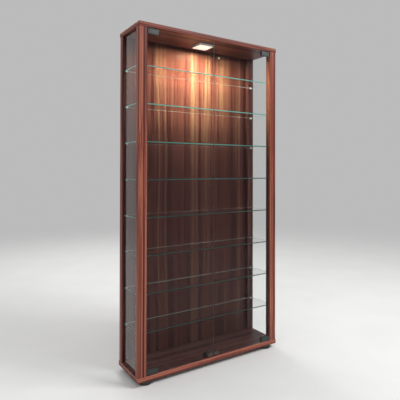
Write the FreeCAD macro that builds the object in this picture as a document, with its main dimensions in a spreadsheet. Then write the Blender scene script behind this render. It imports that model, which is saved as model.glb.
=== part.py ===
import FreeCAD, Part
import os
import re
import Sketcher

# Tall glass display cabinet that stands against a wall on four round feet.
# Frame: +Z up, +X to the right as seen from the front, -Y to the front, +Y to the wall.
# Origin: on the floor, in the middle of the cabinet's footprint. Millimetres.

DRIVING_SIZES = [
    # whole cabinet
    ("cabinet_width", 900, "outside width of top and bottom panel"),
    ("cabinet_depth", 250, "outside depth of top and bottom panel"),
    ("cabinet_height", 1800, "floor to upper face of top panel"),
    ("panel_thickness", 25, "top and bottom panel"),
    ("panel_edge_radius", 5, "rounding along front and side edges of a panel"),
    ("panel_corner_radius", 5, "upright corners of a panel"),
    # posts
    ("post_width", 46, "size of a corner post along X"),
    ("post_depth", 36, "size of a corner post along Y"),
    ("post_inset", 2, "post set back from the panel's edges"),
    ("post_edge_radius", 6, "upright outer edges of a post"),
    ("post_inner_edge_radius", 2, "upright edge of a post towards the door"),
    # grooves and what stands in them
    ("groove_depth", 8, "depth of every groove"),
    ("groove_clearance", 0.3, "room on each side of what stands in a groove"),
    ("groove_end_clearance", 0.5, "room at the bottom of a groove"),
    ("side_glass_thickness", 4, "glass side pane"),
    ("side_glass_inset", 14, "outer face of the side pane from the panel's side"),
    ("back_panel_thickness", 4, "wooden back panel"),
    ("back_panel_inset", 10, "rear face of the back panel from the panel's rear edge"),
    ("glass_arris", 0.5, "ground edge of shelves and doors"),
    # shelves and their supports
    ("shelf_thickness", 5, "glass shelf"),
    ("shelf_gap", 1, "room between a shelf and posts or panes"),
    ("lowest_shelf_height", 199, "bottom panel to underside of the lowest shelf"),
    ("top_space", 180, "uppermost shelf to top panel"),
    ("support_glass_gap", 3, "support plate to the side pane"),
    ("support_pin_radius", 2.5, "round pin in the post"),
    ("support_pin_depth", 8, "pin's length inside the post"),
    ("support_drop", 0.5, "top of the pin under the top of the plate"),
    ("support_reach", 9, "plate's length under the shelf"),
    ("support_width", 14, "plate's width"),
    ("support_plate_thickness", 2, "plate under the shelf"),
    ("hole_clearance", 0.1, "room round pins, screws and dowels in their holes"),
    # doors and hinges
    ("door_thickness", 4, "door glass"),
    ("door_setback", 8, "door's front face behind the panel's front edge"),
    ("door_gap", 2, "between doors, and between door and post"),
    ("door_end_gap", 6, "door glass to top and bottom panel"),
    ("hinge_axis_inset", 14, "hinge axis from the post's inner face"),
    ("clamp_width", 62, "hinge clamp along the door"),
    ("clamp_height", 28, "hinge clamp, over its bridge"),
    ("clamp_wall", 3, "each cheek of the hinge clamp"),
    ("clamp_bridge", 3, "clamp past the end of the glass"),
    ("clamp_pad_thickness", 1, "pad between cheek and glass"),
    ("clamp_pad_margin", 1.5, "pad's edge inside the cheek's edge"),
    ("clamp_edge_relief", 0.5, "clamp's end behind the glass edge"),
    ("clamp_edge_radius", 2, "front corners of the clamp"),
    ("hinge_plate_thickness", 1, "cover plate on the front cheek"),
    ("hinge_plate_sink", 0.6, "how deep the cover plate is let in"),
    ("hinge_plate_width", 44, "cover plate along the door"),
    ("hinge_plate_height", 18, "cover plate, upright"),
    ("hinge_plate_offset", 6, "cover plate's middle from the clamp's middle, away from the post"),
    ("grub_screw_radius", 2.5, "screw that presses the pad on the glass"),
    ("grub_screw_spacing", 26, "two grub screws in a clamp"),
    ("grub_screw_proud", 0.6, "screw standing out of the rear cheek"),
    ("hex_socket_radius", 1.2, "socket in a screw"),
    ("hinge_pin_radius", 3.5, "pivot pin"),
    ("hinge_pin_depth", 10, "pivot pin inside the panel"),
    ("pin_running_clearance", 0.05, "room round the pivot pin in its bushing"),
    ("hinge_running_gap", 0.3, "clamp to bushing flange"),
    ("bushing_radius", 5.5, "plastic bushing in the panel"),
    ("bushing_depth", 12, "bushing inside the panel"),
    ("bushing_flange_radius", 9, "bushing's collar on the panel"),
    # push latch between the doors
    ("latch_width", 76, "housing along X"),
    ("latch_depth", 32, "housing along Y"),
    ("latch_height", 18, "housing over the bottom panel"),
    ("latch_to_strike", 6.9, "housing's front behind the strike clip"),
    ("latch_edge_radius", 2, "edges of the housing"),
    ("plunger_spacing", 40, "between the two plungers"),
    ("plunger_height", 9, "plunger axis over the bottom panel"),
    ("plunger_radius", 4.5, "plunger"),
    ("plunger_running_clearance", 0.08, "room round a plunger in the housing"),
    ("plunger_engagement", 14, "plunger's length inside the housing"),
    ("plunger_wall", 1.2, "wall of the plunger round its spring"),
    ("plunger_travel", 3, "how far the door pushes the plunger in"),
    ("plunger_gap", 0.3, "plunger to strike plate"),
    ("latch_back_wall", 3, "housing behind the springs"),
    ("magnet_radius", 3.4, "magnet in the plunger's nose"),
    ("magnet_length", 3, "magnet in the plunger's nose"),
    ("spring_wire_radius", 0.35, "latch spring"),
    ("spring_clearance", 0.3, "room round the spring in the plunger"),
    ("latch_screw_spacing", 64, "two screws of the housing"),
    ("strike_width", 34, "steel strike clip along the door"),
    ("strike_height", 18, "strike clip over the glass edge"),
    ("strike_wall", 1, "sheet of the strike clip"),
    ("strike_clearance", 0.1, "strike clip to glass"),
    # lamp
    ("lamp_size", 92, "side of the square lamp"),
    ("lamp_height", 10, "lamp under the top panel"),
    ("lamp_corner_radius", 7, "upright corners of the lamp"),
    ("lamp_base_thickness", 2, "back of the lamp housing"),
    ("lamp_rim", 3, "visible rim round the diffuser"),
    ("lamp_ledge", 3, "ledge that the diffuser sits on"),
    ("lamp_diffuser_thickness", 2.5, "opal plate"),
    ("lamp_fit", 0.2, "room round diffuser and board"),
    ("lamp_board_thickness", 1.6, "circuit board"),
    ("led_size", 5, "side of a light emitter"),
    ("led_height", 1.2, "light emitter on the board"),
    ("led_pitch", 22, "between light emitters"),
    ("lamp_screw_offset", 33, "lamp screws from the lamp's middle"),
    ("lamp_inlet_radius", 2, "hole for the lead in the housing's wall"),
    ("outlet_offset", 190, "lead outlet from the cabinet's middle"),
    ("outlet_drop", 18, "lead outlet under the top panel"),
    ("outlet_bore_radius", 3, "hole for the lead"),
    ("outlet_neck_radius", 4.4, "grommet in the back panel"),
    ("outlet_flange_radius", 7, "grommet's collar"),
    ("outlet_flange_thickness", 1.5, "grommet's collar"),
    ("outlet_tail", 1.5, "grommet behind the back panel"),
    # feet
    ("foot_diameter", 70, "round foot"),
    ("foot_height", 22, "round foot"),
    ("foot_side_inset", 58, "foot's middle from the panel's side"),
    ("foot_front_inset", 40, "foot's middle from the panel's front or rear"),
    ("foot_lower_chamfer", 3, "bevel at the floor"),
    ("foot_upper_chamfer", 1, "bevel under the panel"),
    ("foot_recess_radius", 7, "recess for the screw head"),
    ("foot_web", 14, "foot left over the recess"),
    # frame fasteners
    ("frame_screw_radius", 3.5, "shank of a frame screw"),
    ("frame_screw_length", 50, "frame screw under its head"),
    ("frame_screw_head_radius", 5, "head of a frame screw"),
    ("frame_screw_head_height", 3, "head of a frame screw"),
    ("frame_screw_in_post", 13, "frame screw from the post's face at the door"),
    ("frame_joint_in_post", 13, "frame screws and dowels from the post's front or rear face"),
    ("screw_cap_thickness", 2, "cap over a frame screw"),
    ("dowel_radius", 4, "wooden dowel"),
    ("dowel_length", 29, "wooden dowel"),
    ("dowel_in_panel", 12, "dowel's length inside the panel"),
    ("dowel_in_post", 12, "dowel from the post's outer side face"),
    ("hole_bottom_clearance", 1, "hole deeper than what stands in it"),
    # small wood screws
    ("wood_screw_radius", 2, "shank of a small wood screw"),
    ("wood_screw_head_radius", 4, "head of a small wood screw"),
    ("wood_screw_head_height", 2.2, "head of a small wood screw"),
    ("wood_screw_grip", 13, "small wood screw inside a panel"),
    ("screw_tip", 1.5, "pointed end of a screw"),
    # wall brackets
    ("bracket_spacing", 700, "middle to middle of the two wall brackets"),
    ("bracket_width", 32, "bracket along X"),
    ("bracket_thickness", 2, "steel of the bracket"),
    ("bracket_foot", 26, "leg on the top panel"),
    ("bracket_rise", 24, "leg at the wall"),
    ("bracket_hole_radius", 2.75, "hole for the wall screw"),
    ("bracket_hole_height", 14, "wall screw over the top panel"),
    ("bracket_screw_spacing", 18, "two small screws in a bracket"),
    ("bracket_screw_to_back", 6, "small screws in front of the back panel"),
]
ALIASES = {alias for alias, _, _ in DRIVING_SIZES}
SHELF_COUNT = 8
SIDES = {"left": -1, "right": 1}
DEPTHS = {"front": -1, "rear": 1}

# Places that several pieces share, as formulas in the sheet's names.
# X and Y are given for the right and the rear; the other sides take a minus sign.
FLOOR = "(foot_height + panel_thickness)"
CEILING = "(cabinet_height - panel_thickness)"
POST_OUTER_X = "(cabinet_width / 2 - post_inset)"
POST_INNER_X = f"({POST_OUTER_X} - post_width)"
POST_OUTER_Y = "(cabinet_depth / 2 - post_inset)"
POST_INNER_Y = f"({POST_OUTER_Y} - post_depth)"
SIDE_GLASS_OUTER_X = "(cabinet_width / 2 - side_glass_inset)"
SIDE_GLASS_INNER_X = f"({SIDE_GLASS_OUTER_X} - side_glass_thickness)"
BACK_REAR_Y = "(cabinet_depth / 2 - back_panel_inset)"
BACK_FRONT_Y = f"({BACK_REAR_Y} - back_panel_thickness)"
DOOR_FRONT_Y = "(door_setback - cabinet_depth / 2)"
DOOR_REAR_Y = f"({DOOR_FRONT_Y} + door_thickness)"
DOOR_MIDDLE_Y = f"({DOOR_FRONT_Y} + door_thickness / 2)"
DOOR_BOTTOM_Z = f"({FLOOR} + door_end_gap)"
DOOR_TOP_Z = f"({CEILING} - door_end_gap)"
DOOR_OUTER_X = f"({POST_INNER_X} - door_gap)"
HINGE_X = f"({POST_INNER_X} - hinge_axis_inset)"
CLAMP_OUTER_X = f"({DOOR_OUTER_X} - clamp_edge_relief)"
CLAMP_MIDDLE_X = f"({CLAMP_OUTER_X} - clamp_width / 2)"
CLAMP_HALF_Y = "(door_thickness / 2 + clamp_pad_thickness + clamp_wall)"
FRAME_SCREW_X = f"({POST_INNER_X} + frame_screw_in_post)"
DOWEL_X = f"({POST_OUTER_X} - dowel_in_post)"
FRAME_JOINT_Y = f"({POST_OUTER_Y} - frame_joint_in_post)"
FOOT_X = "(cabinet_width / 2 - foot_side_inset)"
FOOT_Y = "(cabinet_depth / 2 - foot_front_inset)"
SUPPORT_X = f"({SIDE_GLASS_INNER_X} - support_glass_gap - support_width / 2)"
LOWEST_SHELF_Z = f"({FLOOR} + lowest_shelf_height)"
SHELF_SPAN = f"({CEILING} - top_space - shelf_thickness - {LOWEST_SHELF_Z})"
SHELF_PITCH = f"({SHELF_SPAN} / {SHELF_COUNT - 1})"
SUPPORT_PIN_Z = f"({LOWEST_SHELF_Z} - support_drop - support_pin_radius)"
STRIKE_REAR_Y = f"({DOOR_REAR_Y} + strike_clearance + strike_wall)"
LATCH_FRONT_Y = f"({STRIKE_REAR_Y} + latch_to_strike)"
LATCH_REAR_Y = f"({LATCH_FRONT_Y} + latch_depth)"
PLUNGER_NOSE_Y = f"({STRIKE_REAR_Y} + plunger_gap)"
PLUNGER_TAIL_Y = f"({LATCH_FRONT_Y} + plunger_engagement)"
PLUNGER_Z = f"({FLOOR} + plunger_height)"
PLUNGER_X = "(plunger_spacing / 2)"
PLUNGER_BORE_RADIUS = "(plunger_radius - plunger_wall)"
PLUNGER_BORE_END_Y = f"({PLUNGER_NOSE_Y} + magnet_length + plunger_wall)"
LAMP_BOTTOM_Z = f"({CEILING} - lamp_height)"
LAMP_BASE_Z = f"({CEILING} - lamp_base_thickness)"
LAMP_MOUTH_HALF = "(lamp_size / 2 - lamp_rim)"
LAMP_ROOM_HALF = f"({LAMP_MOUTH_HALF} - lamp_ledge)"
OUTLET_Z = f"({CEILING} - outlet_drop)"
CORNERS = [(x_side, y_side) for x_side in (-1, 1) for y_side in (-1, 1)]

doc = FreeCAD.newDocument("display_cabinet")
dims = doc.addObject("Spreadsheet::Sheet", "dims")
sub_parts = []


# ---------------------------------------------------------------- sheet and formulas

def fill_sheet():
    for row, (alias, number, meaning) in enumerate(DRIVING_SIZES, 1):
        dims.set(f"A{row}", meaning)
        dims.set(f"B{row}", str(number))
        dims.setAlias(f"B{row}", alias)
    doc.recompute()


def size(formula):
    """The number that a formula in the sheet's names gives."""
    return float(dims.evalExpression(formula))


def bind(thing, prop, formula):
    """Bind a property to a formula in the sheet's names."""
    def with_sheet(match):
        word = match.group()
        return f"dims.{word}" if word in ALIASES else word
    thing.setExpression(prop, re.sub(r"[a-z_]\w*", with_sheet, formula))


def signed(sign, formula):
    return f"({sign} * {formula})"


# ---------------------------------------------------------------- bodies and sketches

def new_body(label):
    body = doc.addObject("PartDesign::Body", label)
    body.Label = label
    body.AllowCompound = True
    sub_parts.append(body)
    return body


def origin_feature(body, role):
    return next(feature for feature in body.Origin.OriginFeatures if feature.Role == role)


def new_sketch(body, plane, at="0"):
    """A sketch on XY, XZ or YZ, at a place along the third axis."""
    sketch = body.newObject("Sketcher::SketchObject", f"{body.Name}_sketch")
    sketch.AttachmentSupport = (origin_feature(body, f"{plane}_Plane"), [""])
    sketch.MapMode = "FlatFace"
    away_from_axis = -1 if plane == "XZ" else 1
    bind(sketch, "AttachmentOffset.Base.z", signed(away_from_axis, f"({at})"))
    sketch.Label2 = plane
    return sketch


def dimension(sketch, kind, *where, formula):
    """One dimension of a sketch, from the origin where only a point is named."""
    number = size(formula)
    if kind == "Radius":
        index = sketch.addConstraint(Sketcher.Constraint(kind, *where, number))
    elif abs(number) < 1e-6:
        axis = -2 if kind == "DistanceX" else -1
        sketch.addConstraint(Sketcher.Constraint("PointOnObject", *where, axis))
        return
    else:
        index = sketch.addConstraint(Sketcher.Constraint(kind, -1, 1, *where, number))
    bind(sketch, f"Constraints[{index}]", formula)


def add_outline(sketch, corners):
    """A closed outline of straight lines; each corner is a pair of formulas."""
    points = [FreeCAD.Vector(size(x), size(y), 0) for x, y in corners]
    count = len(points)
    first = sketch.GeometryCount
    for index, point in enumerate(points):
        sketch.addGeometry(Part.LineSegment(point, points[(index + 1) % count]), False)
    for index in range(count):
        following = first + (index + 1) % count
        sketch.addConstraint(Sketcher.Constraint("Coincident", first + index, 2, following, 1))
    for index, (x, y) in enumerate(corners):
        dimension(sketch, "DistanceX", first + index, 1, formula=x)
        dimension(sketch, "DistanceY", first + index, 1, formula=y)


def add_rectangle(sketch, x0, x1, y0, y1):
    """A rectangle with level and upright sides and two dimensioned corners."""
    low = FreeCAD.Vector(size(x0), size(y0), 0)
    high = FreeCAD.Vector(size(x1), size(y1), 0)
    points = [low, FreeCAD.Vector(high.x, low.y, 0), high, FreeCAD.Vector(low.x, high.y, 0)]
    first = sketch.GeometryCount
    for index, point in enumerate(points):
        sketch.addGeometry(Part.LineSegment(point, points[(index + 1) % 4]), False)
    for index, direction in enumerate(("Horizontal", "Vertical", "Horizontal", "Vertical")):
        following = first + (index + 1) % 4
        sketch.addConstraint(Sketcher.Constraint("Coincident", first + index, 2, following, 1))
        sketch.addConstraint(Sketcher.Constraint(direction, first + index))
    for corner, x, y in ((0, x0, y0), (2, x1, y1)):
        dimension(sketch, "DistanceX", first + corner, 1, formula=x)
        dimension(sketch, "DistanceY", first + corner, 1, formula=y)


def add_circle(sketch, x, y, radius):
    centre = FreeCAD.Vector(size(x), size(y), 0)
    circle = Part.Circle(centre, FreeCAD.Vector(0, 0, 1), size(radius))
    index = sketch.addGeometry(circle, False)
    dimension(sketch, "DistanceX", index, 3, formula=x)
    dimension(sketch, "DistanceY", index, 3, formula=y)
    dimension(sketch, "Radius", index, formula=radius)


def add_circles(sketch, places, radius):
    for x, y in places:
        add_circle(sketch, x, y, radius)


# ---------------------------------------------------------------- features

def pad(sketch, length, forward=True):
    """Add material from the sketch; forward means along the axis's plus direction."""
    body = sketch.getParentGeoFeatureGroup()
    feature = body.newObject("PartDesign::Pad", f"{body.Name}_pad")
    feature.Profile = (sketch, [""])
    bind(feature, "Length", length)
    feature.Reversed = forward if sketch.Label2 == "XZ" else not forward
    doc.recompute()
    return feature


def pocket(sketch, depth, forward=True):
    """Cut from the sketch; forward means along the axis's plus direction."""
    body = sketch.getParentGeoFeatureGroup()
    volume_before = body.Shape.Volume
    feature = body.newObject("PartDesign::Pocket", f"{body.Name}_pocket")
    feature.Profile = (sketch, [""])
    bind(feature, "Length", depth)
    feature.Reversed = not forward if sketch.Label2 == "XZ" else forward
    doc.recompute()
    if not feature.Shape.Volume < volume_before - 1e-3:
        raise RuntimeError(f"{feature.Name} cuts nothing")
    return feature


def revolve(sketch):
    """Turn the sketch's outline once round its upright axis."""
    body = sketch.getParentGeoFeatureGroup()
    feature = body.newObject("PartDesign::Revolution", f"{body.Name}_turned")
    feature.Profile = (sketch, [""])
    feature.ReferenceAxis = (sketch, ["V_Axis"])
    feature.Angle = 360
    doc.recompute()
    return feature


def edges_where(feature, test):
    names = [f"Edge{index}" for index, edge in enumerate(feature.Shape.Edges, 1) if test(edge)]
    if not names:
        raise RuntimeError(f"no edges found on {feature.Name}")
    return names


def round_edges(feature, radius, test):
    body = feature.getParentGeoFeatureGroup()
    fillet = body.newObject("PartDesign::Fillet", f"{body.Name}_fillet")
    fillet.Base = (feature, edges_where(feature, test))
    bind(fillet, "Radius", radius)
    doc.recompute()
    return fillet


def bevel_edges(feature, width, test):
    body = feature.getParentGeoFeatureGroup()
    chamfer = body.newObject("PartDesign::Chamfer", f"{body.Name}_chamfer")
    chamfer.Base = (feature, edges_where(feature, test))
    bind(chamfer, "Size", width)
    doc.recompute()
    return chamfer


def repeat(feature, *changes):
    """Repeat a feature with mirrors and rows, all in one multi-transform."""
    body = feature.getParentGeoFeatureGroup()
    several = body.newObject("PartDesign::MultiTransform", f"{body.Name}_repeat")
    several.Originals = [feature]
    several.Transformations = [change(body) for change in changes]
    body.Tip = several
    doc.recompute()
    return several


def left_and_right(body):
    mirror = body.newObject("PartDesign::Mirrored", f"{body.Name}_left_right")
    mirror.MirrorPlane = (origin_feature(body, "YZ_Plane"), [""])
    return mirror


def front_and_rear(body):
    mirror = body.newObject("PartDesign::Mirrored", f"{body.Name}_front_rear")
    mirror.MirrorPlane = (origin_feature(body, "XZ_Plane"), [""])
    return mirror


def row_of_shelves(body):
    row = body.newObject("PartDesign::LinearPattern", f"{body.Name}_row")
    row.Direction = (origin_feature(body, "Z_Axis"), [""])
    row.Occurrences = SHELF_COUNT
    bind(row, "Length", SHELF_SPAN)
    return row


# ---------------------------------------------------------------- edge tests

def is_upright(edge):
    return edge.BoundBox.XLength < 1e-4 and edge.BoundBox.YLength < 1e-4


def is_level(edge):
    return edge.BoundBox.ZLength < 1e-4


def at_height(edge, height):
    return is_level(edge) and abs(edge.BoundBox.ZMin - height) < 1e-3


def stands_at(edge, x, y):
    box = edge.BoundBox
    return is_upright(edge) and abs(box.XMin - x) < 1e-3 and abs(box.YMin - y) < 1e-3


# ---------------------------------------------------------------- general pieces

def block(label, x, y, z):
    """A plain rectangular piece; x, y and z are pairs of formulas."""
    body = new_body(label)
    sketch = new_sketch(body, "XY", z[0])
    add_rectangle(sketch, *x, *y)
    return pad(sketch, f"({z[1]}) - ({z[0]})")


def glass_sheet(label, x, y, z):
    """A sheet of glass with ground edges."""
    sheet = block(label, x, y, z)
    return bevel_edges(sheet, "glass_arris", lambda edge: True)


def screws(label, places, head_face, up, head_radius, head_height, radius, length):
    """Round-headed screws of one size; the head lies under or over head_face."""
    body = new_body(label)
    head_sketch = new_sketch(body, "XY", head_face)
    add_circles(head_sketch, places, head_radius)
    pad(head_sketch, head_height, forward=not up)
    shank_sketch = new_sketch(body, "XY", head_face)
    add_circles(shank_sketch, places, radius)
    shanks = pad(shank_sketch, length, forward=up)
    end = size(head_face) + (size(length) if up else -size(length))
    return bevel_edges(shanks, "screw_tip", lambda edge: at_height(edge, end))


def at_corners(x, y):
    return [(signed(x_side, x), signed(y_side, y)) for x_side, y_side in CORNERS]


# ---------------------------------------------------------------- panels

def panel(label, inner_face, outer_face, upwards):
    """Top or bottom panel. upwards: a cut from the inner face runs in +Z."""
    body = new_body(label)
    lower_face = inner_face if upwards else outer_face
    sketch = new_sketch(body, "XY", lower_face)
    half_x = "(cabinet_width / 2)"
    half_y = "(cabinet_depth / 2)"
    add_rectangle(sketch, f"-{half_x}", half_x, f"-{half_y}", half_y)
    slab = pad(sketch, "panel_thickness")
    slab = round_edges(slab, "panel_corner_radius", is_upright)
    rear = size(half_y)
    edge_radius = "min(panel_edge_radius; panel_thickness / 2 - 1)"
    round_edges(slab, edge_radius, lambda edge: is_level(edge) and edge.BoundBox.YMax < rear - 1e-3)

    grooves = new_sketch(body, "XY", inner_face)
    groove_end_y = f"({POST_INNER_Y} + groove_depth)"
    for side in SIDES.values():
        add_rectangle(
            grooves,
            signed(side, f"({SIDE_GLASS_INNER_X} - groove_clearance)"),
            signed(side, f"({SIDE_GLASS_OUTER_X} + groove_clearance)"),
            f"-{groove_end_y}",
            groove_end_y,
        )
    groove_end_x = f"({POST_INNER_X} + groove_depth)"
    add_rectangle(
        grooves,
        f"-{groove_end_x}",
        groove_end_x,
        f"{BACK_FRONT_Y} - groove_clearance",
        f"{BACK_REAR_Y} + groove_clearance",
    )
    pocket(grooves, "groove_depth", forward=upwards)

    dowel_holes = new_sketch(body, "XY", inner_face)
    add_circles(dowel_holes, at_corners(DOWEL_X, FRAME_JOINT_Y), "dowel_radius + hole_clearance")
    pocket(dowel_holes, "dowel_in_panel + hole_bottom_clearance", forward=upwards)

    screw_holes = new_sketch(body, "XY", inner_face)
    screw_places = at_corners(FRAME_SCREW_X, FRAME_JOINT_Y)
    add_circles(screw_holes, screw_places, "frame_screw_radius + hole_clearance")
    pocket(screw_holes, "panel_thickness", forward=upwards)

    head_holes = new_sketch(body, "XY", outer_face)
    add_circles(head_holes, screw_places, "frame_screw_head_radius + hole_clearance")
    pocket(head_holes, "frame_screw_head_height + screw_cap_thickness", forward=not upwards)

    bushing_holes = new_sketch(body, "XY", inner_face)
    for side in SIDES.values():
        add_circle(
            bushing_holes, signed(side, HINGE_X), DOOR_MIDDLE_Y, "bushing_radius + hole_clearance")
    pocket(bushing_holes, "bushing_depth", forward=upwards)
    return body


def pilot_holes(body, face, places, forward):
    sketch = new_sketch(body, "XY", face)
    add_circles(sketch, places, "wood_screw_radius + hole_clearance")
    pocket(sketch, "wood_screw_grip + hole_bottom_clearance", forward=forward)


def latch_screw_places():
    middle_y = f"({LATCH_FRONT_Y} + latch_depth / 2)"
    return [(signed(side, "(latch_screw_spacing / 2)"), middle_y) for side in SIDES.values()]


def lamp_screw_places():
    return [("lamp_screw_offset", "lamp_screw_offset"), ("-lamp_screw_offset", "-lamp_screw_offset")]


def bracket_screw_places():
    y = f"({BACK_FRONT_Y} - bracket_screw_to_back)"
    places = []
    for side in SIDES.values():
        for offset in (-1, 1):
            places.append((f"{side} * bracket_spacing / 2 + {offset} * bracket_screw_spacing / 2", y))
    return places


def panels():
    bottom = panel("bottom_panel", FLOOR, "foot_height", upwards=False)
    pilot_holes(bottom, "foot_height", at_corners(FOOT_X, FOOT_Y), forward=True)
    pilot_holes(bottom, FLOOR, latch_screw_places(), forward=False)
    top = panel("top_panel", CEILING, "cabinet_height", upwards=True)
    pilot_holes(top, CEILING, lamp_screw_places(), forward=True)
    pilot_holes(top, "cabinet_height", bracket_screw_places(), forward=False)


# ---------------------------------------------------------------- posts

def post(depth_name, side_name):
    """Corner post, cut from one profile with its grooves, then drilled."""
    x_side = SIDES[side_name]
    y_side = DEPTHS[depth_name]
    body = new_body(f"post_{depth_name}_{side_name}")
    outer_x = signed(x_side, POST_OUTER_X)
    inner_x = signed(x_side, POST_INNER_X)
    outer_y = signed(y_side, POST_OUTER_Y)
    inner_y = signed(y_side, POST_INNER_Y)
    groove_near_x = signed(x_side, f"({SIDE_GLASS_INNER_X} - groove_clearance)")
    groove_far_x = signed(x_side, f"({SIDE_GLASS_OUTER_X} + groove_clearance)")
    groove_bottom_y = signed(y_side, f"({POST_INNER_Y} + groove_depth)")
    corners = [
        (outer_x, outer_y),
        (outer_x, inner_y),
        (groove_far_x, inner_y),
        (groove_far_x, groove_bottom_y),
        (groove_near_x, groove_bottom_y),
        (groove_near_x, inner_y),
        (inner_x, inner_y),
    ]
    if y_side > 0:
        back_groove_x = signed(x_side, f"({POST_INNER_X} + groove_depth)")
        back_groove_front = f"({BACK_FRONT_Y} - groove_clearance)"
        back_groove_rear = f"({BACK_REAR_Y} + groove_clearance)"
        corners += [
            (inner_x, back_groove_front),
            (back_groove_x, back_groove_front),
            (back_groove_x, back_groove_rear),
            (inner_x, back_groove_rear),
        ]
    corners.append((inner_x, outer_y))
    profile = new_sketch(body, "XY", FLOOR)
    add_outline(profile, corners)
    bar = pad(profile, f"{CEILING} - {FLOOR}")

    outer_corners = [(outer_x, outer_y), (outer_x, inner_y)]
    outer_points = [(size(x), size(y)) for x, y in outer_corners]
    bar = round_edges(
        bar, "post_edge_radius", lambda edge: any(stands_at(edge, *point) for point in outer_points))
    door_corner = (size(inner_x), size(outer_y))
    round_edges(bar, "post_inner_edge_radius", lambda edge: stands_at(edge, *door_corner))

    joint_y = signed(y_side, FRAME_JOINT_Y)
    for face, forward in ((FLOOR, True), (CEILING, False)):
        dowel_hole = new_sketch(body, "XY", face)
        add_circle(dowel_hole, signed(x_side, DOWEL_X), joint_y, "dowel_radius + hole_clearance")
        pocket(dowel_hole, "dowel_length - dowel_in_panel + hole_bottom_clearance", forward)
        screw_hole = new_sketch(body, "XY", face)
        screw_radius = "frame_screw_radius + hole_clearance"
        add_circle(screw_hole, signed(x_side, FRAME_SCREW_X), joint_y, screw_radius)
        panel_grip = "(panel_thickness - frame_screw_head_height - screw_cap_thickness)"
        pocket(screw_hole, f"frame_screw_length - {panel_grip} + hole_bottom_clearance", forward)

    pin_holes = new_sketch(body, "XZ", inner_y)
    for shelf in range(SHELF_COUNT):
        add_circle(
            pin_holes,
            signed(x_side, SUPPORT_X),
            f"{SUPPORT_PIN_Z} + {shelf} * {SHELF_PITCH}",
            "support_pin_radius + hole_clearance",
        )
    pocket(pin_holes, "support_pin_depth", forward=y_side > 0)


def posts():
    for depth_name in DEPTHS:
        for side_name in SIDES:
            post(depth_name, side_name)


# ---------------------------------------------------------------- panes and back panel

def side_glass(side_name):
    side = SIDES[side_name]
    end_y = f"({POST_INNER_Y} + groove_depth - groove_end_clearance)"
    faces_x = (signed(side, SIDE_GLASS_INNER_X), signed(side, SIDE_GLASS_OUTER_X))
    ends_z = (
        f"({FLOOR} - groove_depth + groove_end_clearance)",
        f"({CEILING} + groove_depth - groove_end_clearance)",
    )
    block(f"side_glass_{side_name}", faces_x, (f"-{end_y}", end_y), ends_z)


def back_panel():
    end_x = f"({POST_INNER_X} + groove_depth - groove_end_clearance)"
    ends_z = (
        f"({FLOOR} - groove_depth + groove_end_clearance)",
        f"({CEILING} + groove_depth - groove_end_clearance)",
    )
    sheet = block("back_panel", (f"-{end_x}", end_x), (BACK_FRONT_Y, BACK_REAR_Y), ends_z)
    hole = new_sketch(sheet.getParentGeoFeatureGroup(), "XZ", BACK_FRONT_Y)
    add_circle(hole, "outlet_offset", OUTLET_Z, "outlet_neck_radius + hole_clearance")
    pocket(hole, "back_panel_thickness", forward=True)


# ---------------------------------------------------------------- shelves and supports

def shelves():
    end_x = f"({SIDE_GLASS_INNER_X} - shelf_gap)"
    end_y = f"({POST_INNER_Y} - shelf_gap)"
    for shelf in range(SHELF_COUNT):
        underside = f"({LOWEST_SHELF_Z} + {shelf} * {SHELF_PITCH})"
        glass_sheet(
            f"shelf_{shelf + 1}",
            (f"-{end_x}", end_x),
            (f"-{end_y}", end_y),
            (underside, f"({underside} + shelf_thickness)"),
        )


def shelf_supports(side_name):
    """Sixteen pins with a flat plate, one at each post for each shelf."""
    side = SIDES[side_name]
    body = new_body(f"shelf_supports_{side_name}")
    middle_x = signed(side, SUPPORT_X)
    shelf_end_y = f"(-{POST_INNER_Y})"
    plate = new_sketch(body, "XZ", shelf_end_y)
    add_rectangle(
        plate,
        f"{middle_x} - support_width / 2",
        f"{middle_x} + support_width / 2",
        f"{LOWEST_SHELF_Z} - support_plate_thickness",
        LOWEST_SHELF_Z,
    )
    add_to_row = pad(plate, "support_reach")
    pin = new_sketch(body, "XZ", f"{shelf_end_y} - support_pin_depth + hole_clearance")
    add_circle(pin, middle_x, SUPPORT_PIN_Z, "support_pin_radius")
    pin_pad = pad(pin, "support_pin_depth - hole_clearance + support_reach")
    several = body.newObject("PartDesign::MultiTransform", f"{body.Name}_repeat")
    several.Originals = [add_to_row, pin_pad]
    several.Transformations = [front_and_rear(body), row_of_shelves(body)]
    body.Tip = several


# ---------------------------------------------------------------- doors

def clamp_levels(is_top):
    """Heights of a hinge clamp: glass end, bridge's outer face, cheek's free edge."""
    if is_top:
        return DOOR_TOP_Z, f"({DOOR_TOP_Z} + clamp_bridge)", f"({DOOR_TOP_Z} + clamp_bridge - clamp_height)"
    bridge = f"({DOOR_BOTTOM_Z} - clamp_bridge)"
    return DOOR_BOTTOM_Z, bridge, f"({bridge} + clamp_height)"


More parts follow.
